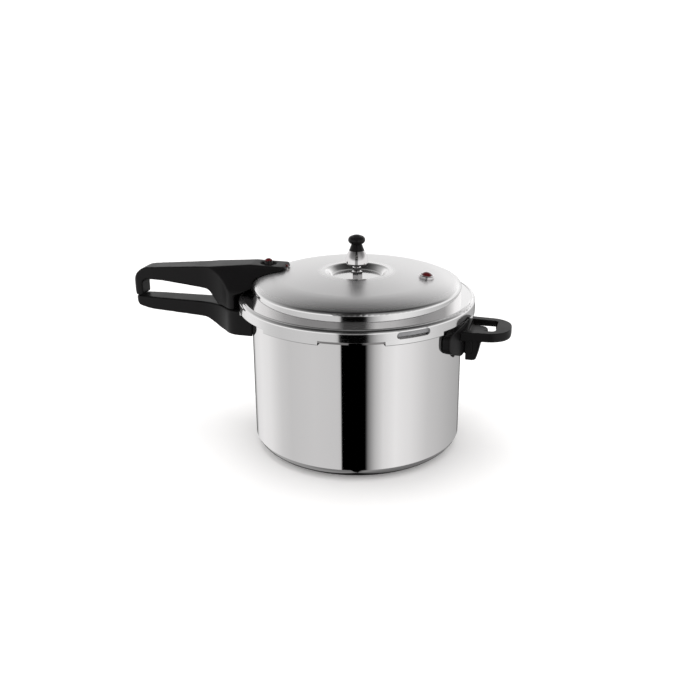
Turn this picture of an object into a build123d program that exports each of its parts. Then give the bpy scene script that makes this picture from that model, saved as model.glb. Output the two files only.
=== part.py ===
from build123d import *
import os
from math import asin, cos, degrees, radians, sin, sqrt

os.makedirs("parts", exist_ok=True)

# Pressure canner, in millimetres. +Z is up and the origin is the centre of the base.
# The two long handles lie along -X and the helper handle along +X.

# Running and seat gaps
seat_gap = 0.3
part_gap = 0.15
running_gap = 0.05
handle_gap = 0.6
lug_gap = 0.3

# Pot
pot_radius = 120.0
pot_wall = 3.0
pot_floor = 4.0
pot_height = 167.3
base_corner_radius = 22.0
base_corner_height = 14.0
inner_corner_radius = 12.0
rim_reach = 4.0
rim_depth = 5.4
pot_lug_reach = 11.0
pot_lug_thickness = 3.4
lug_count = 6
lug_angle = 30.0
pot_lug_angle = 27.0
lug_start = 12.0

# Lid
sheet = 2.4
gasket_height = 8.0
lug_thickness = 3.2
skirt_reach = 14.3
skirt_corner = 4.0
skirt_step = 4.3
skirt_lip_round = 1.0
lid_lug_reach = 5.2
lid_lug_round = 1.2
edge_inset = 1.5
edge_height = 13.0
edge_round = 4.6
knee_inset = 32.0
knee_height = 9.4
bead_reaches = [9.6, 12.2]
bead_depth = 0.5
bead_width = 2.0
dish_radius = 35.0
dish_floor_radius = 29.0
dish_drop = 6.4
crown_radius = 806.0
window_length = 39.0
window_height = 7.6
window_drop = 7.6
window_angle = -49.5

# Long handles
handle_length = 156.5
handle_half_width = 14.0
handle_end_half_width = 9.5
head_half_width = 40.0
head_neck = 46.0
nose_overlap = 38.0
nose_half_width = 9.5
nose_height = 8.0
lid_handle_rise = 28.6
grip_fall = 14.0
neck_fall = 5.0
neck_reach = 54.0
roof_width = 38.5
roof_foot = 2.0
roof_round = 14.0
grip_foot = 43.0
finger_gap_end = 144.0
finger_gap_height = 21.0
lower_handle_depth = 29.5
lower_handle_short = 1.5
handle_joint_drop = 2.4

# Helper handle
helper_length = 56.5
helper_half_width = 30.0
helper_end_round = 24.0
helper_bar = 10.0
helper_drop = 16.3
helper_arm = 10.0
helper_arm_inner_edge = 3.0
helper_arm_slope = 7.0
helper_end_arm = 16.0
web_reach = 31.0
web_drop = 4.0
boss_radius = 10.5
boss_drop = 9.0
boss_taper = 5.0
boss_root_reach = 14.0
boss_root_half_width = 15.0
plate_drop = 10.3
plate_height = 36.0
plate_half_width = 53.0
plate_thickness = 8.0
plate_corner_lift = 12.0

# Brackets and handle screws
bracket_sheet = 3.0
bracket_half_width = 11.0
bracket_angle = 24.0
pad_below = 10.0
pad_above = 14.0
pot_bracket_drop = 18.0
helper_bracket_drop = 5.0
screw_radius = 2.0
screw_head_radius = 4.0
screw_head_height = 2.6
pot_bracket_reach = 42.0
pot_screw_reach = 30.0
pot_screw_sink = 4.0
helper_bracket_reach = 27.0
helper_screw_reach = 14.0
helper_screw_sink = 2.0
lid_bracket_lift = 4.6
lid_bracket_reach = 52.0
lid_screw_reaches = [26.0, 42.0]
lid_screw_sink = 20.0

# Vent pipe and regulator
vent_tube_radius = 3.4
vent_bore_radius = 1.2
vent_hex = 11.2
vent_hex_height = 5.6
vent_collar_radius = 4.8
vent_neck_radius = 3.9
vent_thread_radius = 4.5
vent_height = 22.5
bell_bottom_radius = 13.0
bell_top_radius = 8.6
bell_height = 15.0
bell_rise = 14.8
bell_wall = 3.2
bell_hole_radius = 1.6
knob_radius = 9.6
knob_neck_radius = 5.8
knob_neck_height = 7.4
knob_height = 10.4
stud_radius = 2.0

# Cover lock on the lid handle
lock_inset = 14.6
lock_travel = 5.0
pin_radius = 2.0
lock_boss_radius = 5.8
lock_boss_top_radius = 4.6
lock_boss_height = 4.4
lock_boss_shank_radius = 4.3
guide_radius = 3.5
guide_flange_radius = 4.6
guide_flange_height = 2.0
pin_head_radius = 4.2

# Overpressure plug
plug_place = 80.0
plug_radius = 6.3
plug_ring_radius = 8.7
plug_ring_height = 3.6
plug_stem_radius = 4.6

# Canning rack
rack_inset = 17.0
rack_height = 12.0
rack_sheet = 1.6
rack_hole_radius = 4.5
rack_rings = 5

# Radii and reaches that follow from the pot's radius
skirt_radius = pot_radius + skirt_reach
lid_lug_radius = pot_radius + lid_lug_reach
edge_radius = pot_radius - edge_inset
knee_radius = pot_radius - knee_inset
rack_radius = pot_radius - rack_inset
handle_tip = pot_radius + handle_length
nose_reach = pot_radius - nose_overlap
lock_place = pot_radius - lock_inset
helper_reach = pot_radius + helper_length
helper_screw_place = pot_radius + helper_screw_reach
pot_screw_place = pot_radius + pot_screw_reach

# Heights that follow from the stack of rim, gasket and lid
rim_z = pot_height
gasket_bottom = rim_z + seat_gap
flange_under = gasket_bottom + gasket_height
flange_z = flange_under + sheet
pot_lug_bottom = rim_z - pot_lug_thickness
lid_lug_top = pot_lug_bottom - lug_gap
lid_lug_bottom = lid_lug_top - lug_thickness
skirt_gap_z = lid_lug_bottom + skirt_step
edge_z = flange_z + edge_height
knee_z = edge_z + knee_height
crown_z = knee_z + crown_radius - sqrt(crown_radius**2 - knee_radius**2)
dish_rim_z = crown_z - crown_radius + sqrt(crown_radius**2 - dish_radius**2)
dish_floor_z = dish_rim_z - dish_drop
joint_z = lid_lug_bottom - handle_joint_drop
handle_top = flange_z + lid_handle_rise
handle_low = joint_z + handle_gap
lid_bracket_z = flange_z + lid_bracket_lift
lid_screw_head_z = joint_z + lid_screw_sink
pot_handle_bottom = joint_z - lower_handle_depth
wall_bracket_z = joint_z - pot_bracket_drop
helper_top = rim_z - helper_drop
helper_bottom = helper_top - helper_bar
helper_bracket_z = helper_bottom - helper_bracket_drop
plate_top = rim_z - plate_drop
plate_bottom = plate_top - plate_height
boss_bottom = plate_bottom - boss_drop

# Heights of the vent pipe, the regulator and the cover lock
vent_hex_top = dish_floor_z + vent_hex_height
vent_collar_bottom = vent_hex_top + 2.6
vent_top = dish_floor_z + vent_height + 0.6
bell_z = dish_floor_z + bell_rise
guide_bottom = edge_z - sheet - 2.0 - guide_flange_height
boss_top = handle_top - 2.0 + lock_boss_height
pin_head_top = guide_bottom - lock_travel - seat_gap


def save(part, node):
    part.label = node
    export_step(part, f"parts/{node}.step")


def rounded(points, corners=()):
    """A closed face through the points, with the named corners rounded."""
    face = make_face(Polyline(*points, close=True))
    for corner, radius in corners:
        face = fillet(face.vertices().sort_by_distance(corner)[0], radius)
    return face


def turned(face, start=0.0, arc=360.0):
    """Turn a face drawn in (radius, height) about +Z."""
    upright = Plane.XZ * face
    return Rot(0, 0, start) * revolve(upright, axis=Axis.Z, revolution_arc=arc)


def ring(inner, outer, bottom, top):
    """A plain ring about +Z."""
    ring_face = rounded([(inner, bottom), (outer, bottom), (outer, top), (inner, top)])
    return turned(ring_face)


def rod(radius, bottom, top, x=0.0, y=0.0):
    """An upright round rod."""
    return Pos(x, y, bottom) * extrude(Circle(radius), top - bottom)


def block(x_low, x_high, half_width, bottom, top):
    """A box that is even about the XZ plane."""
    size = (x_high - x_low, 2 * half_width, top - bottom)
    centre = Pos((x_low + x_high) / 2, 0, (bottom + top) / 2)
    return centre * Box(*size)


def side_slab(points, half_width, corners=()):
    """A profile drawn in (x, z), as thick as the width both ways from the XZ plane."""
    return extrude(Plane.XZ * rounded(points, corners), half_width, both=True)


def plan_slab(points, bottom, top, corners=()):
    """A profile drawn in (x, y), between two heights."""
    return Pos(0, 0, bottom) * extrude(rounded(points, corners), top - bottom)


def cap_arc(radius, foot, rise):
    """A round cap's arc, from its foot to its top on the axis."""
    ball = (radius**2 + rise**2) / (2 * rise)
    half_turn = asin(radius / ball) / 2
    middle = (ball * sin(half_turn), foot + rise - ball * (1 - cos(half_turn)))
    return ThreePointArc((radius, foot), middle, (0, foot + rise))


def mirrored(half):
    """A half outline with y above zero, closed by its mirror image."""
    return half + [(x, -y) for x, y in reversed(half) if y > 0]


def both_sides(corners):
    """The same rounded corners on the mirror image too."""
    return corners + [((x, -y), radius) for (x, y), radius in corners]


def out(reach):
    """X of a place this far out from the pot's wall, on the long handles' side."""
    return -(pot_radius + reach)


def lid_height(radius, inset=0.0):
    """Height of the crown of the lid at a radius inside the knee."""
    return crown_z - crown_radius + sqrt(crown_radius**2 - radius**2) - inset


def lid_region(inset, bottom, lip_round=0.0):
    """All that lies under the lid's outer face, moved in by the inset, down to a height."""
    dish_r = dish_radius + inset
    floor_r = dish_floor_radius + inset
    edge_r = edge_radius - inset
    skirt_r = skirt_radius - inset
    mid_r = (dish_radius + knee_radius) / 2
    crown = ThreePointArc(
        (dish_r, lid_height(dish_r, inset)),
        (mid_r, lid_height(mid_r, inset)),
        (knee_radius, lid_height(knee_radius, inset)),
    )
    shoulder = TangentArc(crown @ 1, (edge_r, edge_z - inset), tangent=crown % 1)
    low = Polyline(
        (edge_r, edge_z - inset),
        (edge_r, flange_z - inset),
        (skirt_r, flange_z - inset),
        (skirt_r, bottom),
        (0, bottom),
        (0, dish_floor_z - inset),
        (floor_r, dish_floor_z - inset),
        (dish_r, lid_height(dish_r, inset)),
    )
    face = make_face(crown + shoulder + low)
    rounds = [
        ((floor_r, dish_floor_z - inset), 4.0),
        ((dish_r, lid_height(dish_r, inset)), 4.0),
        ((edge_r, edge_z - inset), edge_round),
        ((skirt_r, flange_z - inset), skirt_corner - inset),
    ]
    if lip_round:
        rounds.append(((skirt_r, bottom), lip_round))
    for corner, radius in rounds:
        face = fillet(face.vertices().sort_by_distance(corner)[0], radius)
    return turned(face)


def lug_starts(width):
    """Start angle of each lug of the given width, on the lid's lug spacing."""
    pitch = 360.0 / lug_count
    return [lug_start + index * pitch - width / 2 for index in range(lug_count)]


def saddle(outer_gap, thickness, half_angle, bottom, top, gap=0.0):
    """A curved pad on the pot's wall, centred on +X."""
    inner = pot_radius + outer_gap
    outer = inner + thickness + gap
    face = rounded(
        [(inner, bottom - gap), (outer, bottom - gap), (outer, top + gap), (inner, top + gap)]
    )
    spread = half_angle + degrees(gap / pot_radius)
    return turned(face, -spread, 2 * spread)


def wall_bracket(reach, height, gap=0.0):
    """The pad and tongue that carry a handle on the pot's wall, pointing along +X."""
    pad_bottom = height - pad_below
    pad_top = height + pad_above
    pad = saddle(seat_gap / 3, bracket_sheet, bracket_angle / 2, pad_bottom, pad_top, gap)
    tongue = block(
        pot_radius + 1.0,
        reach + gap,
        bracket_half_width + gap,
        height - gap,
        height + bracket_sheet + gap,
    )
    return pad + tongue


def screw(x, head_z, tip_z, y=0.0):
    """An upright pan-head screw with its head at the bottom and a cross slot in it."""
    head = rod(screw_head_radius, head_z, head_z + screw_head_height, x, y)
    head = fillet(head.edges().group_by(Axis.Z)[0], 1.0)
    slots = Box(5.0, 1.0, 2.0) + Box(1.0, 5.0, 2.0)
    head -= Pos(x, y, head_z) * slots
    return head + rod(screw_radius, head_z + screw_head_height, tip_z, x, y)


def screw_way(x, mouth_z, head_z, tip_z, y=0.0):
    """The counterbore and shank hole for one screw."""
    head = rod(screw_head_radius + part_gap, mouth_z, head_z + screw_head_height, x, y)
    return head + rod(screw_radius + part_gap, head_z, tip_z, x, y)


# ---------------------------------------------------------------- pot

def make_pot():
    arc_centre_r = pot_radius - sqrt(
        base_corner_radius**2 - (base_corner_radius - base_corner_height) ** 2
    )
    outer_corner = ThreePointArc(
        (arc_centre_r, 0),
        (
            arc_centre_r + base_corner_radius * sin(radians(35)),
            base_corner_radius * (1 - cos(radians(35))),
        ),
        (pot_radius, base_corner_height),
    )
    inner_r = pot_radius - pot_wall
    wall = Polyline(
        (pot_radius, base_corner_height),
        (pot_radius, rim_z - rim_depth - rim_reach),
        (pot_radius + rim_reach, rim_z - rim_depth),
        (pot_radius + rim_reach, rim_z),
        (inner_r, rim_z),
        (inner_r, pot_floor),
        (0, pot_floor),
        (0, 0),
        (arc_centre_r, 0),
    )
    face = make_face(outer_corner + wall)
    inner_corner = face.vertices().sort_by_distance((inner_r, pot_floor))[0]
    face = fillet(inner_corner, inner_corner_radius)
    pot = turned(face)
    lug_face = rounded(
        [
            (pot_radius + rim_reach / 2, pot_lug_bottom),
            (pot_radius + pot_lug_reach, pot_lug_bottom),
            (pot_radius + pot_lug_reach, rim_z),
            (pot_radius + rim_reach / 2, rim_z),
        ]
    )
    for start in lug_starts(pot_lug_angle):
        pot += turned(lug_face, start, pot_lug_angle)
    return pot


def make_rack():
    plate_bottom_z = pot_floor + seat_gap + rack_height - rack_sheet
    foot = ring(rack_radius - rack_sheet, rack_radius, pot_floor + seat_gap, plate_bottom_z + 0.1)
    plate = rod(rack_radius, plate_bottom_z, plate_bottom_z + rack_sheet)
    holes = rod(rack_hole_radius, plate_bottom_z - 1, plate_bottom_z + rack_sheet + 1)
    pitch = (rack_radius - 3 * rack_hole_radius) / rack_rings
    for ring_index in range(1, rack_rings + 1):
        count = 6 * ring_index
        for index in range(count):
            turn = radians(360.0 * index / count)
            x = pitch * ring_index * cos(turn)
            y = pitch * ring_index * sin(turn)
            holes += rod(rack_hole_radius, plate_bottom_z - 1, plate_bottom_z + rack_sheet + 1, x, y)
    return foot + (plate - holes)


# ---------------------------------------------------------------- lid

def make_lid():
    lid = lid_region(0.0, skirt_gap_z, skirt_lip_round) - lid_region(sheet, skirt_gap_z - 1)
    lug_face = rounded(
        [
            (lid_lug_radius, lid_lug_bottom),
            (skirt_radius, lid_lug_bottom),
            (skirt_radius, skirt_gap_z + 1),
            (skirt_radius - sheet, skirt_gap_z + 1),
            (skirt_radius - sheet, lid_lug_top),
            (lid_lug_radius, lid_lug_top),
        ],
        [((skirt_radius, lid_lug_bottom), lid_lug_round)],
    )
    for start in lug_starts(lug_angle):
        lid += turned(lug_face, start, lug_angle)
    for reach in bead_reaches:
        middle = pot_radius + reach
        mouth = flange_z + 0.1
        inner, outer = middle - bead_width / 2, middle + bead_width / 2
        lid -= turned(rounded([(inner, mouth), (middle, flange_z - bead_depth), (outer, mouth)]))
    window = Plane.YZ * SlotOverall(window_length, window_height)
    window = extrude(window, 12.0)
    lid -= Rot(0, 0, window_angle) * Pos(skirt_radius - 8, 0, flange_z - window_drop) * window
    lid -= rod(vent_thread_radius + part_gap, dish_floor_z - 9, dish_floor_z + 9)
    lid -= rod(guide_radius + part_gap, edge_z - 9, handle_top, -lock_place)
    lid -= on_plug_seat(rod(plug_stem_radius + part_gap, -9, 9))
    return lid


def make_gasket():
    inner = edge_radius - sheet + 1.0
    outer = skirt_radius - sheet - part_gap
    top = flange_under
    middle = (gasket_bottom + top) / 2
    depth = (outer - inner) * 0.55
    gasket = rounded(
        [
            (inner, gasket_bottom),
            (outer, gasket_bottom),
            (outer, top),
            (inner, top),
            (inner, middle + 1.4),
            (inner + depth, middle + 0.4),
            (inner + depth, middle - 0.4),
            (inner, middle - 1.4),
        ],
        [((outer, gasket_bottom), 1.5), ((outer, top), 1.5)],
    )
    return turned(gasket)


# ---------------------------------------------------------------- long handles

def lid_handle_side():
    """Side outline of the lid handle, with x towards the nose."""
    gap_top = handle_low + finger_gap_height
    tip = -handle_tip
    points = [
        (-nose_reach, handle_top - nose_height),
        (-nose_reach, handle_top - 0.6),
        (out(neck_reach - 50), handle_top),
        (out(neck_reach), handle_top - neck_fall),
        (tip, handle_top - grip_fall),
        (tip, handle_low + 8),
        (tip + 2.5, handle_low),
        (out(finger_gap_end), handle_low),
        (out(finger_gap_end), gap_top),
        (out(finger_gap_end - 26), gap_top),
        (out(grip_foot + 13), gap_top - 5.6),
        (out(grip_foot), handle_low),
        (-skirt_radius - 1.2, handle_low),
        (-skirt_radius - 1.2, flange_z - 3),
    ]
    corners = [
        ((-nose_reach, handle_top - 0.6), 4.0),
        ((out(neck_reach), handle_top - neck_fall), 400.0),
        ((tip, handle_top - grip_fall), 24.0),
        ((tip, handle_low + 8), 9.0),
        ((out(finger_gap_end), handle_low), 2.5),
        ((out(finger_gap_end), gap_top), 8.0),
        ((out(finger_gap_end - 26), gap_top), 120.0),
        ((out(grip_foot + 13), gap_top - 5.6), 12.0),
    ]
    return points, corners


def handle_plan(tip, wide_from, wide_to, nose, nose_corners=()):
    """Outline in plan of a long handle, from the tip to its wide head and the nose."""
    outline = [
        (-tip, 0),
        (-tip, handle_end_half_width),
        (out(130), handle_half_width - 1.5),
        (out(82), handle_half_width),
        (out(head_neck), handle_half_width + 1.5),
        (out(wide_from), head_half_width),
        (out(wide_to), head_half_width),
    ]
    corners = [
        ((-tip, handle_end_half_width), 8.0),
        ((out(130), handle_half_width - 1.5), 60.0),
        ((out(head_neck), handle_half_width + 1.5), 62.0),
        ((out(wide_from), head_half_width), 22.0),
    ]
    return mirrored(outline + nose), both_sides(corners + list(nose_corners))


def make_lid_handle():
    points, corners = lid_handle_side()
    side = side_slab(points, head_half_width + 5, corners)
    nose = [(-nose_reach, nose_half_width), (-nose_reach, 0)]
    nose_corners = [((out(-14), head_half_width), 20.0), ((-nose_reach, nose_half_width), 7.0)]
    outline, corners = handle_plan(handle_tip, 20, -14, nose, nose_corners)
    plan = plan_slab(outline, joint_z - 5, handle_top + 9, corners)
    ridge = handle_half_width + 1.5
    half_section = [
        (joint_z - 5, roof_width),
        (flange_z + roof_foot, roof_width),
        (handle_top - 4, ridge),
        (handle_top + 2, ridge - 2.5),
    ]
    corners = both_sides(
        [
            ((flange_z + roof_foot, roof_width), roof_round),
            ((handle_top - 4, ridge), 12.0),
        ]
    )
    section = Rot(0, 0, 90) * rounded(mirrored(half_section), corners)
    roof = Pos(-handle_tip - 5, 0, 0) * extrude(Plane.YZ * section, handle_tip)
    handle = side & plan & roof
    handle -= lid_region(-seat_gap, lid_lug_bottom - 2)
    handle -= lid_bracket(part_gap)
    for reach in lid_screw_reaches:
        top = lid_bracket_z + bracket_sheet
        handle -= screw_way(out(reach), joint_z - 2, lid_screw_head_z, top)
    recess = extrude(Ellipse(9.5, 8.0), 6.0)
    handle -= Pos(-lock_place, 0, handle_top - 3.4) * recess
    handle -= rod(lock_boss_shank_radius + part_gap, edge_z - 5, handle_top + 5, -lock_place)
    handle -= rod(guide_radius + part_gap, edge_z - 9, handle_top, -lock_place)
    handle -= lens_body(part_gap)
    handle -= nose_stud_body(part_gap)
    return handle


def lid_bracket(gap=0.0):
    """The welded foot on the flange and the tongue that runs out into the grip."""
    tongue = block(
        out(lid_bracket_reach) - gap,
        -edge_radius - 2.4 + gap,
        bracket_half_width + gap,
        lid_bracket_z - gap,
        lid_bracket_z + bracket_sheet + gap,
    )
    foot = block(
        -skirt_radius + skirt_corner + 1.0 - gap,
        -edge_radius - 2.4 + gap,
        bracket_half_width + gap,
        flange_z,
        lid_bracket_z,
    )
    return tongue + foot


def make_lid_bracket():
    bracket = lid_bracket()
    for reach in lid_screw_reaches:
        bracket -= rod(screw_radius + part_gap, lid_bracket_z - 1, lid_bracket_z + 9, out(reach))
    return bracket


def nose_stud_body(gap=0.0):
    """The bright stud between the nose of the lid handle and the lid."""
    x = -nose_reach - 1.6
    foot_z = lid_height(nose_reach + 1.6)
    return rod(1.7 + gap, foot_z + 0.15, foot_z + 1.6 + gap, x)


def lens_body(gap=0.0):
    """The small round lens in the nose of the lid handle."""
    lens = extrude(Plane.YZ * Circle(1.4 + gap), 3.0 + gap)
    return Pos(-nose_reach - 2.6 - gap, 0, handle_top - 2.2) * lens


def pot_handle_side():
    """Side outline of the pot handle, with x towards the pot."""
    low = pot_handle_bottom
    tip = -handle_tip + lower_handle_short
    points = [
        (tip, joint_z),
        (tip, joint_z - 11),
        (out(136), joint_z - 15.0),
        (out(60), joint_z - 18.5),
        (out(40), low + 2),
        (out(28), low),
        (out(-20), low),
        (out(-20), joint_z),
    ]
    corners = [
        ((tip, joint_z), 3.0),
        ((tip, joint_z - 11), 9.0),
        ((out(136), joint_z - 15.0), 60.0),
        ((out(60), joint_z - 18.5), 22.0),
        ((out(40), low + 2), 9.0),
    ]
    return points, corners


def make_pot_handle():
    points, corners = pot_handle_side()
    side = side_slab(points, head_half_width + 5, corners)
    tip = handle_tip - lower_handle_short
    outline, corners = handle_plan(tip, 20, -20, [(out(-20), 0)])
    handle = side & plan_slab(outline, joint_z - 60, joint_z + 5, corners)
    handle -= rod(pot_radius + seat_gap, joint_z - 70, joint_z + 10)
    handle -= Rot(0, 0, 180) * wall_bracket(pot_radius + pot_bracket_reach, wall_bracket_z, part_gap)
    head_z = pot_handle_bottom + pot_screw_sink
    top = wall_bracket_z + bracket_sheet + 4
    handle -= screw_way(-pot_screw_place, head_z - 20, head_z, top)
    return handle


def make_wall_bracket(reach, height, screw_place):
    bracket = wall_bracket(pot_radius + reach, height)
    return bracket - rod(screw_radius + part_gap, height - 1, height + 9, screw_place)


# ---------------------------------------------------------------- helper handle

def make_helper_plate():
    outline = [
        (-plate_half_width, plate_top - 4),
        (-plate_half_width, plate_bottom + plate_corner_lift),
        (-24, plate_bottom),
        (24, plate_bottom),
        (plate_half_width, plate_bottom + plate_corner_lift),
        (plate_half_width, plate_top - 4),
        (34, plate_top),
        (-34, plate_top),
    ]
    corners = [((y, z), 9.0) for y, z in outline[:6]]
    slab = extrude(Plane.YZ * rounded(outline, corners), pot_radius + 40)
    plate = slab & rod(pot_radius + plate_thickness, plate_bottom - 5, plate_top + 5)
    plate -= rod(pot_radius + seat_gap, plate_bottom - 9, plate_top + 9)
    return plate - wall_bracket(pot_radius + helper_bracket_reach, helper_bracket_z, part_gap)


def helper_hole():
    """The way through the loop, wider below so that the arms thin out to their inner edge."""
    inner_y = helper_half_width - helper_arm
    start = pot_radius + plate_thickness + 3
    end = helper_reach - helper_end_arm
    edge = helper_top - helper_arm_inner_edge
    hole = plan_slab(
        mirrored([(start, inner_y), (end, inner_y - 2), (end, 0)]),
        helper_bottom - 5,
        helper_top + 5,
        both_sides([((end, inner_y - 2), 5.0)]),
    )
    slope = rounded(
        mirrored(
            [
                (helper_bottom - 1, inner_y + helper_arm_slope),
                (helper_bottom, inner_y + helper_arm_slope),
                (edge, inner_y - 4),
            ]
        )
    )
    slope = extrude(Plane.YZ * (Rot(0, 0, 90) * slope), end - start - 3)
    return hole + Pos(start, 0, 0) * slope


def helper_web():
    """The web inside the loop and the round screw boss that hangs below it."""
    near = pot_radius
    boss_end = helper_screw_place + boss_radius
    side = side_slab(
        [
            (near, helper_top - web_drop),
            (near + web_reach, helper_top - web_drop),
            (near + web_reach, helper_bottom - 2),
            (boss_end, helper_bottom - 7),
            (boss_end - boss_taper, boss_bottom),
            (near, boss_bottom),
        ],
        helper_half_width,
        [
            ((near + web_reach, helper_top - web_drop), 3.0),
            ((near + web_reach, helper_bottom - 2), 4.0),
            ((boss_end, helper_bottom - 7), 6.0),
            ((boss_end - boss_taper, boss_bottom), 4.0),
        ],
    )
    round_end = rod(boss_radius, boss_bottom, helper_top, near + web_reach - boss_radius)
    low_end = rod(boss_radius, boss_bottom, helper_top, helper_screw_place)
    root = block(near, near + web_reach - boss_radius, boss_radius, boss_bottom, helper_top)
    return side & (round_end + low_end + root)


def make_helper_grip():
    near = pot_radius
    end_corner = (helper_reach, helper_half_width - 3)
    outline = mirrored([(near, helper_half_width + 1), end_corner, (helper_reach, 0)])
    corners = both_sides([(end_corner, helper_end_round)])
    grip = plan_slab(outline, helper_bottom, helper_top, corners) - helper_hole() + helper_web()
    root_end = near + boss_root_reach
    grip += block(near, root_end, boss_root_half_width, plate_bottom, helper_top - web_drop)
    grip -= rod(pot_radius + plate_thickness, boss_bottom - 20, plate_top + 20)
    grip -= wall_bracket(pot_radius + helper_bracket_reach, helper_bracket_z, part_gap)
    head_z = boss_bottom + helper_screw_sink
    grip -= screw_way(helper_screw_place, head_z - 20, head_z, helper_bracket_z + 8)
    return grip


# ---------------------------------------------------------------- vent pipe and regulator

def hexagon(across, bottom, top):
    """An upright hexagonal prism with its top corners chamfered by a cone."""
    corner = across / sqrt(3)
    prism = Pos(0, 0, bottom) * extrude(RegularPolygon(corner, 6), top - bottom)
    cone = rounded(
        [
            (0, bottom - 1),
            (corner + 1, bottom - 1),
            (corner + 1, top - 1.4),
            (across / 2 - 0.2, top + 0.05),
            (0, top + 0.05),
        ]
    )
    return prism & turned(cone)


def make_vent_pipe():
    pipe = hexagon(vent_hex, dish_floor_z, vent_hex_top)
    pipe += rod(vent_neck_radius, vent_hex_top - 0.5, vent_collar_bottom)
    pipe += rod(vent_collar_radius, vent_collar_bottom, vent_collar_bottom + 2.2)
    pipe += rod(vent_tube_radius, vent_collar_bottom + 2, vent_top)
    pipe += rod(vent_thread_radius, dish_floor_z - 10.5, dish_floor_z + 0.5)
    return pipe - rod(vent_bore_radius, dish_floor_z - 20, vent_top + 5)


def make_vent_nut():
    top = dish_floor_z - sheet
    nut = hexagon(vent_hex + 2.0, top - 5.2, top)
    return nut - rod(vent_thread_radius + running_gap, top - 9, top + 3)


def make_bell():
    outer = make_face(
        Polyline((0, 0), (bell_bottom_radius - 0.8, 0), (bell_bottom_radius, 1.2))
        + ThreePointArc(
            (bell_bottom_radius, 1.2),
            ((bell_bottom_radius + bell_top_radius) / 2 + 0.8, bell_height * 0.56),
            (bell_top_radius, bell_height),
        )
        + Polyline((bell_top_radius, bell_height), (0, bell_height), (0, 0))
    )
    cavity = rounded(
        [
            (0, -1),
            (bell_bottom_radius - bell_wall, -1),
            (bell_bottom_radius - bell_wall, 4),
            (bell_top_radius - bell_wall + 1, bell_height - 3),
            (0, bell_height - 3),
        ]
    )
    bell = turned(outer) - turned(cavity)
    bell -= rod(stud_radius + part_gap, 0, bell_height + 1)
    hole = extrude(Plane.YZ * Circle(bell_hole_radius), 20.0)
    for turn in (-75.0, 105.0):
        bell -= Rot(0, 0, turn) * Pos(0, 0, bell_height * 0.66) * hole
    return Pos(0, 0, bell_z) * bell


def make_knob():
    foot = bell_z + bell_height
    waist = foot + knob_neck_height
    top = waist + knob_height
    face = make_face(
        Polyline((0, foot), (bell_top_radius, foot), (knob_neck_radius, waist))
        + ThreePointArc(
            (knob_neck_radius, waist),
            (knob_radius, waist + knob_height * 0.47),
            (knob_neck_radius, top - 1.4),
        )
        + cap_arc(knob_neck_radius, top - 1.4, 1.4)
        + Line((0, top), (0, foot))
    )
    return turned(face) - rod(stud_radius + part_gap, foot - 1, waist + 2)


def make_seat():
    """The seat that rests on the vent pipe, with the stud that holds the knob."""
    ceiling = bell_z + bell_height - 3
    seat = rod(bell_top_radius - bell_wall + 0.4, vent_top + seat_gap, ceiling)
    return seat + rod(stud_radius, ceiling - 0.5, bell_z + bell_height + knob_neck_height)


# ---------------------------------------------------------------- cover lock

def make_lock_boss():
    """The black bush that guides the cap, flush in the handle with a cone above it."""
    boss = rounded(
        [
            (pin_radius + running_gap, edge_z + 8.5),
            (lock_boss_shank_radius, edge_z + 8.5),
            (lock_boss_shank_radius, handle_top - 3.2),
            (lock_boss_radius, handle_top - 3.2),
            (lock_boss_top_radius, boss_top),
            (pin_radius + running_gap, boss_top),
        ]
    )
    return Pos(-lock_place, 0, 0) * turned(boss)


def make_lock_guide():
    """The metal bush in the lid, with its flange under the lid."""
    guide = ring(pin_radius + running_gap, guide_radius, guide_bottom, edge_z + 8.4)
    flange_top = guide_bottom + guide_flange_height
    guide += ring(pin_radius + running_gap, guide_flange_radius, guide_bottom, flange_top)
    return Pos(-lock_place, 0, 0) * guide


def make_lock_pin():
    pin = rod(pin_radius, pin_head_top - 0.5, boss_top + 1.4)
    pin += rod(pin_head_radius, pin_head_top - 3.6, pin_head_top - 1.6)
    return Pos(-lock_place, 0, 0) * (pin + rod(pin_radius, pin_head_top - 2, pin_head_top))


def make_lock_seal():
    seal = ring(pin_radius + running_gap, pin_head_radius - 0.3, pin_head_top - 1.6, pin_head_top)
    return Pos(-lock_place, 0, 0) * seal


def make_lock_cap():
    """The red cap on the pin, a low dome."""
    foot = boss_top + seat_gap
    cap = make_face(
        Polyline((0, foot), (lock_boss_top_radius - 0.3, foot), (lock_boss_top_radius - 0.3, foot + 0.8))
        + cap_arc(lock_boss_top_radius - 0.3, foot + 0.8, 2.0)
        + Line((0, foot + 2.8), (0, foot))
    )
    cap = turned(cap) - rod(pin_radius + running_gap, foot - 1, boss_top + 1.45)
    return Pos(-lock_place, 0, 0) * cap


# ---------------------------------------------------------------- overpressure plug

def on_plug_seat(part):
    """Stand a part, built about +Z, square on the lid at the plug's place."""
    lean = degrees(asin(plug_place / crown_radius))
    return Pos(plug_place, 0, lid_height(plug_place)) * Rot(0, lean, 0) * part


def make_plug():
    dome = make_face(
        Polyline((0, 0.2), (plug_radius, 0.2), (plug_radius, plug_ring_height - 0.6))
        + cap_arc(plug_radius, plug_ring_height - 0.6, 3.5)
        + Line((0, plug_ring_height + 2.9), (0, 0.2))
    )
    plug = turned(dome) + rod(plug_stem_radius, -sheet - 0.5, 0.4)
    return on_plug_seat(plug + rod(plug_radius + 0.6, -sheet - 2.6, -sheet - 0.3))


def make_plug_ring():
    face = rounded(
        [
            (plug_radius + part_gap, 0.1),
            (plug_ring_radius, 0.1),
            (plug_ring_radius, plug_ring_height),
            (plug_radius + part_gap, plug_ring_height),
        ],
        [((plug_ring_radius, plug_ring_height), 1.4)],
    )
    return on_plug_seat(turned(face))


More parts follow.
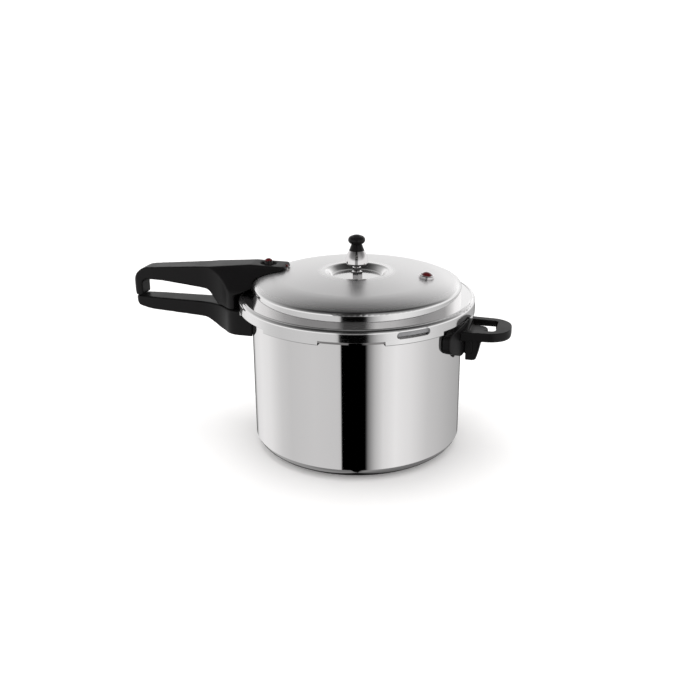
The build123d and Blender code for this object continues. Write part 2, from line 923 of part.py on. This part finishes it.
save(make_pot(), "pot_body")
pot_bracket = make_wall_bracket(pot_bracket_reach, wall_bracket_z, pot_screw_place)
save(Rot(0, 0, 180) * pot_bracket, "pot_handle_bracket")
save(make_pot_handle(), "pot_handle")
pot_screw = screw(-pot_screw_place, pot_handle_bottom + pot_screw_sink, wall_bracket_z + 6.0)
save(pot_screw, "pot_handle_screw")
save(make_wall_bracket(helper_bracket_reach, helper_bracket_z, helper_screw_place), "helper_bracket")
save(make_helper_plate(), "helper_plate")
save(make_helper_grip(), "helper_grip")
helper_screw = screw(helper_screw_place, boss_bottom + helper_screw_sink, helper_bracket_z + 6.0)
save(helper_screw, "helper_screw")
save(make_rack(), "canning_rack")

save(make_lid(), "lid_shell")
save(make_gasket(), "sealing_gasket")
save(make_lid_handle(), "lid_handle")
save(make_lid_bracket(), "lid_handle_bracket")
screw_top = lid_bracket_z + bracket_sheet
lid_screws = [screw(out(reach), lid_screw_head_z, screw_top) for reach in lid_screw_reaches]
save(Compound(children=lid_screws), "lid_handle_screws")
save(nose_stud_body(), "nose_stud")
save(lens_body(), "nose_lens")

save(make_vent_pipe(), "vent_pipe")
save(make_vent_nut(), "vent_nut")
save(make_bell(), "regulator_bell")
save(make_knob(), "regulator_knob")
save(make_seat(), "regulator_seat")

save(make_lock_boss(), "lock_boss")
save(make_lock_guide(), "lock_guide")
save(make_lock_pin(), "lock_pin")
save(make_lock_seal(), "lock_seal")
save(make_lock_cap(), "lock_cap")

save(make_plug(), "overpressure_plug")
save(make_plug_ring(), "plug_ring")
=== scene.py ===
from math import cos, pi, radians, sin

import bmesh
import bpy
from mathutils import Matrix, Vector


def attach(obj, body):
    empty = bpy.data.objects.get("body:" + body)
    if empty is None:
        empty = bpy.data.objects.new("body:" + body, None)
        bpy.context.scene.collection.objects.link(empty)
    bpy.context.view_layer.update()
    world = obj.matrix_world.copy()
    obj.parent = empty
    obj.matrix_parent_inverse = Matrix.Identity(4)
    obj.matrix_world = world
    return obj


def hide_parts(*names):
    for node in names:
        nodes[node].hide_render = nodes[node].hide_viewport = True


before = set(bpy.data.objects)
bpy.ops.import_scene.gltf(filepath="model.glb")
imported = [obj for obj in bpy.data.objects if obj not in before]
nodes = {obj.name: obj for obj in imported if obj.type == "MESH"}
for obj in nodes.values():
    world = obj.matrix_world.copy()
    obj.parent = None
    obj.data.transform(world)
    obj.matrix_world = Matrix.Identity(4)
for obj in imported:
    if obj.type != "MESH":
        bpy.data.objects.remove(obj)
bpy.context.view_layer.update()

MM = 0.001

# ---------------------------------------------------------------- view

view_azimuth = radians(15.0)
camera_place = Vector((251.0, -968.0, 479.05)) * MM
camera_pitch = radians(20.34)
camera_roll = -0.005
camera_lens = 46.96
sensor_width = 36.0


def add_camera():
    """The camera at the fitted place, looking down at the canner."""
    camera = bpy.data.objects.new("camera", bpy.data.cameras.new("camera"))
    bpy.context.scene.collection.objects.link(camera)
    camera.data.lens = camera_lens
    camera.data.sensor_width = sensor_width
    turn = Matrix.Rotation(view_azimuth, 4, "Z") @ Matrix.Rotation(pi / 2 - camera_pitch, 4, "X")
    roll = Matrix.Rotation(camera_roll, 4, "Z")
    camera.matrix_world = Matrix.Translation(camera_place) @ turn @ roll
    bpy.context.scene.camera = camera


# ---------------------------------------------------------------- node helpers

def put(tree, kind, settings=None, **sockets):
    """A shader node with its settings and inputs; an input is a value or another node's output.

    n0, n1 and n2 name an input by its number, and any other word by its name."""
    made = tree.nodes.new("ShaderNode" + kind)
    for name, value in (settings or {}).items():
        setattr(made, name, value)
    for name, value in sockets.items():
        key = int(name[1]) if name in ("n0", "n1", "n2") else name
        if isinstance(value, bpy.types.NodeSocket):
            tree.links.new(value, made.inputs[key])
        else:
            made.inputs[key].default_value = value
    return made


def maths(tree, operation, first, second):
    """One sum on two values."""
    return put(tree, "Math", {"operation": operation}, n0=first, n1=second).outputs[0]


def ramp(tree, factor, stops, interpolation="EASE"):
    """A grey ramp; each stop is a place from 0 to 1 and a level."""
    made = put(tree, "ValToRGB", Fac=factor)
    band = made.color_ramp
    band.interpolation = interpolation
    while len(band.elements) < len(stops):
        band.elements.new(1.0)
    for element, (place, level) in zip(band.elements, stops):
        element.position = place
        element.color = (level, level, level, 1.0)
    return made.outputs[0]


def spread(tree, value, low, high):
    """Map a noise from 0..1 to low..high."""
    made = put(tree, "MapRange", Value=value)
    made.inputs["To Min"].default_value = low
    made.inputs["To Max"].default_value = high
    return made.outputs[0]


def noise(tree, vector, scale, detail=2.0, roughness=0.5):
    """A soft random pattern from 0 to 1."""
    made = put(tree, "TexNoise", Vector=vector, Scale=scale, Detail=detail, Roughness=roughness)
    return made.outputs["Fac"]


def fresh_material(name):
    """An empty node material with one Principled shader."""
    material = bpy.data.materials.new(name)
    material.use_nodes = True
    tree = material.node_tree
    tree.nodes.clear()
    shader = put(tree, "BsdfPrincipled")
    put(tree, "OutputMaterial", Surface=shader.outputs[0])
    return material, tree, shader


def join(tree, value, shader, socket):
    """Feed a value into one of the shader's sockets."""
    tree.links.new(value, shader.inputs[socket])


def tinted(tree, shader, factor, first, second):
    """Vary the shader's colour between two colours."""
    tint = put(tree, "Mix", {"data_type": "RGBA"}, Factor=factor)
    tint.inputs["A"].default_value = (*first, 1.0)
    tint.inputs["B"].default_value = (*second, 1.0)
    join(tree, tint.outputs["Result"], shader, "Base Color")


def times(colour, gain):
    """A colour made lighter or darker."""
    return tuple(part * gain for part in colour)


def bump(tree, shader, height, strength, distance):
    """Fine relief that only bends the shading."""
    made = put(tree, "Bump", Strength=strength, Distance=distance, Height=height)
    join(tree, made.outputs[0], shader, "Normal")


def place_in_part(tree):
    """The point on the surface, in the part's own frame."""
    return put(tree, "TexCoord").outputs["Object"]


# ---------------------------------------------------------------- materials

# The radius that a brushed zone's ramp spans, and how far the zone takes to fade, in metres
satin_reach = 0.15
satin_fade = 0.010
# How many clouds of noise there are in a metre
smear_scale = 14.0
plastic_clouds = 45.0
plastic_grain = 1400.0
plated_clouds = 160.0
plated_grain = 900.0
red_clouds = 300.0
rubber_clouds = 80.0
rubber_grain = 1200.0
# Depths of fine relief
lathe_depth = 0.02 * MM
grain_depth = 0.1 * MM
scratch_depth = 0.03 * MM


def spun_metal(name, colour, rough, ring_pitch, ring_strength, stain, satin=None):
    """Sheet metal spun on a lathe and polished: fine rings, faint smears, soft blur.

    satin is a roughness and the radii between which a brushed zone lies."""
    material, tree, shader = fresh_material(name)
    point = place_in_part(tree)
    x, y, z = put(tree, "SeparateXYZ", Vector=point).outputs
    flat = put(tree, "CombineXYZ", X=x, Y=y).outputs[0]
    radius = put(tree, "VectorMath", {"operation": "LENGTH"}, n0=flat).outputs["Value"]
    rings = put(tree, "CombineXYZ", X=radius, Y=z).outputs[0]
    lathe_marks = noise(tree, rings, 1.0 / ring_pitch, 3.0, 0.7)
    smears = noise(tree, point, smear_scale, 3.0)
    tinted(tree, shader, smears, times(colour, 1.0 - stain), colour)
    shader.inputs["Metallic"].default_value = 1.0
    half_marks = maths(tree, "MULTIPLY", lathe_marks, 0.5)
    total = maths(tree, "ADD", half_marks, maths(tree, "MULTIPLY", smears, 0.5))
    blur = spread(tree, total, rough * 0.6, rough * 1.4)
    if satin:
        satin_rough, inner, outer = satin
        share = maths(tree, "DIVIDE", radius, satin_reach)
        edges = [(inner, 0.0), (inner + satin_fade, 1.0), (outer - satin_fade, 1.0), (outer, 0.0)]
        zone = ramp(tree, share, [(place / satin_reach, level) for place, level in edges])
        brushed = spread(tree, total, satin_rough * 0.85, satin_rough * 1.15)
        blur = put(tree, "Mix", {"data_type": "FLOAT"}, Factor=zone, A=blur, B=brushed).outputs["Result"]
    join(tree, blur, shader, "Roughness")
    bump(tree, shader, lathe_marks, ring_strength, lathe_depth)
    return material


def moulded_plastic(name, colour, rough=0.36, grain=0.08):
    """Compression-moulded phenolic: nearly black, satin, with a fine grain."""
    material, tree, shader = fresh_material(name)
    point = place_in_part(tree)
    cloud = noise(tree, point, plastic_clouds, 4.0)
    tinted(tree, shader, cloud, colour, times(colour, 1.5))
    join(tree, spread(tree, cloud, rough * 0.8, rough * 1.2), shader, "Roughness")
    shader.inputs["Specular IOR Level"].default_value = 0.19
    bump(tree, shader, noise(tree, point, plastic_grain, 2.0, 0.6), grain, grain_depth)
    return material


def glossy_metal(name, colour, rough, scratch):
    """Plated metal: bright, with faint wear."""
    material, tree, shader = fresh_material(name)
    point = place_in_part(tree)
    cloud = noise(tree, point, plated_clouds, 3.0)
    tinted(tree, shader, cloud, times(colour, 0.92), colour)
    shader.inputs["Metallic"].default_value = 1.0
    join(tree, spread(tree, cloud, rough * 0.6, rough * 1.5), shader, "Roughness")
    bump(tree, shader, noise(tree, point, plated_grain), scratch, scratch_depth)
    return material


def red_plastic(name):
    """Deep red, glossy plastic with a clear coat."""
    material, tree, shader = fresh_material(name)
    point = place_in_part(tree)
    cloud = noise(tree, point, red_clouds)
    tinted(tree, shader, cloud, (0.040, 0.002, 0.003), (0.065, 0.003, 0.004))
    join(tree, spread(tree, cloud, 0.12, 0.2), shader, "Roughness")
    shader.inputs["Coat Weight"].default_value = 0.6
    shader.inputs["Coat Roughness"].default_value = 0.05
    return material


def rubber(name, colour):
    """Moulded rubber: dull, with a bloom."""
    material, tree, shader = fresh_material(name)
    point = place_in_part(tree)
    cloud = noise(tree, point, rubber_clouds, 4.0)
    tinted(tree, shader, cloud, colour, times(colour, 1.4))
    join(tree, spread(tree, cloud, 0.5, 0.7), shader, "Roughness")
    bump(tree, shader, noise(tree, point, rubber_grain), 0.1, grain_depth)
    return material


pot_metal = spun_metal("pot_polish", (0.95, 0.935, 0.935), 0.04, 0.0011, 0.05, 0.03)
satin_zone = (0.32, 0.036, 0.119)
lid_metal = spun_metal("lid_polish", (0.96, 0.95, 0.95), 0.09, 0.0007, 0.08, 0.03, satin_zone)
rack_metal = glossy_metal("rack_satin", (0.80, 0.80, 0.81), 0.35, 0.2)
phenolic = moulded_plastic("phenolic", (0.0034, 0.0031, 0.0033))
knob_plastic = moulded_plastic("knob_phenolic", (0.005, 0.0045, 0.0048), 0.22, 0.03)
chrome = glossy_metal("chrome", (0.90, 0.88, 0.885), 0.035, 0.01)
plated = glossy_metal("plated_steel", (0.68, 0.67, 0.65), 0.24, 0.1)
red_gloss = red_plastic("red_gloss")
gasket_rubber = rubber("grey_rubber", (0.20, 0.20, 0.205))

node_finish = {
    "pot_body": pot_metal,
    "lid_shell": lid_metal,
    "canning_rack": rack_metal,
    "sealing_gasket": gasket_rubber,
    "lock_seal": gasket_rubber,
    "pot_handle": phenolic,
    "lid_handle": phenolic,
    "helper_grip": phenolic,
    "helper_plate": phenolic,
    "lock_boss": knob_plastic,
    "regulator_knob": knob_plastic,
    "regulator_bell": chrome,
    "regulator_seat": plated,
    "vent_pipe": chrome,
    "vent_nut": chrome,
    "plug_ring": chrome,
    "nose_stud": chrome,
    "nose_lens": red_gloss,
    "lock_cap": red_gloss,
    "overpressure_plug": red_gloss,
    "lock_guide": plated,
    "lock_pin": plated,
    "pot_handle_bracket": plated,
    "lid_handle_bracket": plated,
    "helper_bracket": plated,
    "pot_handle_screw": plated,
    "lid_handle_screws": plated,
    "helper_screw": plated,
}


def finish_nodes():
    """Give each CAD node its own finish."""
    for name, material in node_finish.items():
        for place in nodes[name].material_slots:
            place.material = material


# ---------------------------------------------------------------- moulded pieces

weld_distance = 0.002 * MM


def moulded_copy(node, name, body, voxel, passes):
    """A copy of a node's solid with the soft corners that a mould leaves."""
    mesh = nodes[node].data.copy()
    mesh.name = name
    grid = bmesh.new()
    grid.from_mesh(mesh)
    bmesh.ops.remove_doubles(grid, verts=grid.verts, dist=weld_distance)
    grid.to_mesh(mesh)
    grid.free()
    piece = bpy.data.objects.new(name, mesh)
    bpy.context.scene.collection.objects.link(piece)
    remesh = piece.modifiers.new("voxels", "REMESH")
    remesh.mode = "VOXEL"
    remesh.voxel_size = voxel
    soften = piece.modifiers.new("soften", "SMOOTH")
    soften.factor = 0.5
    soften.iterations = passes
    bpy.context.view_layer.update()
    seen = piece.evaluated_get(bpy.context.evaluated_depsgraph_get())
    piece.data = bpy.data.meshes.new_from_object(seen)
    piece.modifiers.clear()
    piece.data.materials.clear()
    piece.data.materials.append(phenolic)
    for face in piece.data.polygons:
        face.use_smooth = True
    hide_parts(node)
    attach(piece, body)


def make_handles():
    """The four phenolic mouldings, each with its voxel and how many passes soften it."""
    moulded_copy("lid_handle", "lid_grip", "lid", 0.7 * MM, 24)
    moulded_copy("pot_handle", "pot_grip", "pot", 0.7 * MM, 24)
    moulded_copy("helper_grip", "helper_loop", "pot", 0.5 * MM, 16)
    moulded_copy("helper_plate", "helper_pad", "pot", 0.6 * MM, 24)


# ---------------------------------------------------------------- studio

floor_reach = 8.0
floor_white = 0.80
floor_clouds = 40.0
sky_strength = 1.45

# The next five tables are the light that polished metal sees, by direction. Their stops were
# chosen to follow grey levels read off the metal in the photograph.
# The light low down, by the angle round the canner from the view.
low_light = [
    (-180, 0.03), (-164, 0.06), (-150, 0.70), (-130, 0.78), (-112, 0.74), (-92, 0.58), (-78, 0.53),
    (-48, 0.56), (-21, 0.54), (-18.2, 0.50), (-17, 0.0), (9, 0.0), (11.5, 0.17),
    (19, 0.45), (28, 0.66), (42, 0.77), (60, 0.70), (84, 0.54), (122, 0.43), (154, 0.36),
    (166, 0.05), (180, 0.03),
]
# Light that it sees by height: the sine of the angle above the floor, and a level.
high_light = [
    (0.0, 0.78), (0.28, 0.76), (0.36, 0.62), (0.43, 0.50), (0.50, 0.43), (0.60, 0.34),
    (0.70, 0.22), (0.80, 0.13), (0.90, 0.05), (1.0, 0.025),
]
# How much of the high light there is, by the same angle as the low light.
high_share = [
    (-180, 1.0), (-155, 1.2), (-115, 1.0), (-85, 0.5), (-60, 0.35), (-22, 0.35), (-14, 0.06), (8, 0.06),
    (20, 0.75), (40, 0.7), (70, 0.4), (110, 0.5), (135, 1.3), (163, 1.45), (172, 1.25), (180, 1.0),
]
# The pale horizon by angle, and the sines between which the low light gives way to it, and it to
# the high light.
horizon_light = [(-180, 0.85), (-22, 0.85), (-14, 0.25), (7, 0.25), (14, 0.85), (180, 0.85)]
horizon_from = (-0.27, -0.12)
horizon_to = (0.12, 0.27)
# Light straight down, where the canner shades the paper.
low_share = [(-1.0, 0.3), (-0.8, 0.38), (-0.62, 0.6), (-0.5, 1.0)]
metal_gain = 1.07

# The overhead light
light_place = Vector((-0.2, 0.1, 1.5))
light_aim = Vector((0.0, 0.0, 0.1))
light_size = 0.9
light_power = 6.0


def heading(tree, x, y):
    """The angle of a direction from the view's own heading, from 0 to 1, half at the view."""
    side, front = cos(view_azimuth), sin(view_azimuth)
    x_across = maths(tree, "MULTIPLY", x, side)
    y_across = maths(tree, "MULTIPLY", y, front)
    x_toward = maths(tree, "MULTIPLY", x, front)
    y_toward = maths(tree, "MULTIPLY", y, side)
    across = maths(tree, "ADD", x_across, y_across)
    toward = maths(tree, "SUBTRACT", x_toward, y_toward)
    angle = maths(tree, "ARCTAN2", across, toward)
    return maths(tree, "ADD", maths(tree, "DIVIDE", angle, 2 * pi), 0.5)


def round_stops(levels, gain=1.0):
    """Stops of a ramp from angles in degrees, made brighter by a gain."""
    return [((angle + 180) / 360, level * gain) for angle, level in levels]


def height_stops(levels):
    """Stops of a ramp from sines between -1 and 1."""
    return [((height + 1) / 2, level) for height, level in levels]


def add_floor():
    """A plain pale floor. Polished metal sees the studio's own light low down instead of it."""
    corners = [(-1, -1), (1, -1), (1, 1), (-1, 1)]
    mesh = bpy.data.meshes.new("floor")
    mesh.from_pydata([(x * floor_reach, y * floor_reach, 0) for x, y in corners], [], [(0, 1, 2, 3)])
    floor = bpy.data.objects.new("floor", mesh)
    bpy.context.scene.collection.objects.link(floor)
    material, tree, shader = fresh_material("floor_paper")
    shader.inputs["Roughness"].default_value = 0.9
    shader.inputs["Specular IOR Level"].default_value = 0.0
    fibre = noise(tree, place_in_part(tree), floor_clouds, 4.0)
    dark, pale = (0.985, 0.975, 0.97), (1.0, 0.99, 0.985)
    tinted(tree, shader, fibre, times(dark, floor_white), times(pale, floor_white))
    mesh.materials.append(material)
    floor.visible_glossy = False


def add_sky():
    """White all round for the eye and for plain light, and a studio of soft lights for gloss."""
    world = bpy.data.worlds.new("studio")
    bpy.context.scene.world = world
    world.use_nodes = True
    tree = world.node_tree
    tree.nodes.clear()
    direction = put(tree, "TexCoord").outputs["Generated"]
    x, y, z = put(tree, "SeparateXYZ", Vector=direction).outputs
    around = heading(tree, x, y)
    up = maths(tree, "ADD", maths(tree, "MULTIPLY", z, 0.5), 0.5)
    low = maths(
        tree, "MULTIPLY",
        ramp(tree, around, round_stops(low_light, metal_gain), "LINEAR"),
        ramp(tree, up, height_stops(low_share), "LINEAR"),
    )
    high = maths(
        tree, "MULTIPLY",
        ramp(tree, around, round_stops(high_share), "LINEAR"),
        ramp(tree, z, high_light, "LINEAR"),
    )
    horizon = ramp(tree, around, round_stops(horizon_light), "LINEAR")
    rise = ramp(tree, up, height_stops([(horizon_from[0], 0.0), (horizon_from[1], 1.0)]), "LINEAR")
    above = ramp(tree, up, height_stops([(horizon_to[0], 0.0), (horizon_to[1], 1.0)]), "LINEAR")
    to_horizon = put(tree, "Mix", {"data_type": "FLOAT"}, Factor=rise, A=low, B=horizon)
    level = put(tree, "Mix", {"data_type": "FLOAT"}, Factor=above, A=to_horizon.outputs["Result"], B=high)
    glossy = put(tree, "Background", Color=level.outputs["Result"])
    plain = put(tree, "Background", Color=(1.0, 1.0, 1.0, 1.0), Strength=sky_strength)
    path = put(tree, "LightPath")
    gloss = path.outputs["Is Glossy Ray"]
    mix = put(tree, "MixShader", n0=gloss, n1=plain.outputs[0], n2=glossy.outputs[0])
    put(tree, "OutputWorld", Surface=mix.outputs[0])


def add_light():
    """One broad soft light overhead, which gloss doesn't see."""
    lamp = bpy.data.lights.new("overhead", "AREA")
    lamp.shape = "SQUARE"
    lamp.size = light_size
    lamp.energy = light_power
    light = bpy.data.objects.new("overhead", lamp)
    bpy.context.scene.collection.objects.link(light)
    light.location = light_place
    light.rotation_euler = (light_aim - light_place).to_track_quat("-Z", "Y").to_euler()
    light.visible_glossy = False
    light.visible_camera = False


# ---------------------------------------------------------------- scene

bpy.context.scene.view_settings.view_transform = "Standard"
add_camera()
finish_nodes()
make_handles()
add_floor()
add_sky()
add_light()
